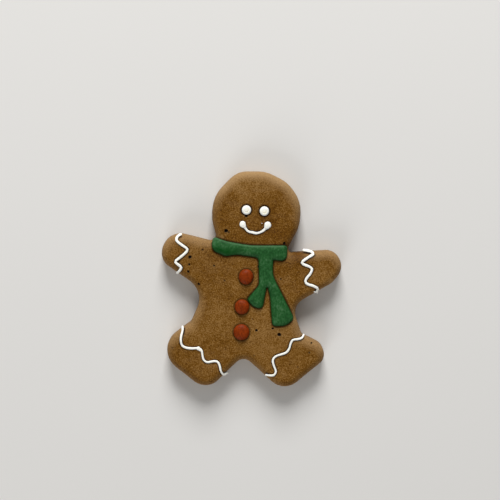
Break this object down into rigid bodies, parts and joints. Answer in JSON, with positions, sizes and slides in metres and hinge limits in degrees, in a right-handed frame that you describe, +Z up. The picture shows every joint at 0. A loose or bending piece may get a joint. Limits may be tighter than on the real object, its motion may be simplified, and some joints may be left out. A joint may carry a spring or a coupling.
{
  "type": "gingerbread man cookie",
  "caption": "Thick gingerbread man biscuit lying face up, with a green scarf, red-brown buttons, icing eyes and smile, and piped icing at its wrists and ankles.",
  "frame": {"origin": "centre of the box round the biscuit's flat back, on the surface that it lies on", "axes": "+Z up out of the decorated face, +Y towards the head, +X towards the viewer's right"},
  "size_m": [0.0878, 0.1064, 0.0136],
  "materials": {
    "gingerbread": "baked dough, fine matt grain with a slight sheen and a few pinholes",
    "scarf_coating": "smooth satin coating",
    "button_candy": "satin, slightly uneven domes",
    "icing": "smooth set icing, soft satin"
  },
  "bodies": {
    "root": {"cookie": "gingerbread", "scarf": "scarf_coating", "button_1": "button_candy", "button_2": "button_candy", "button_3": "button_candy", "eye_left": "icing", "eye_right": "icing", "smile": "icing", "cuff_left": "icing", "cuff_right": "icing", "anklet_left": "icing", "anklet_right": "icing"}
  },
  "joints": []
}
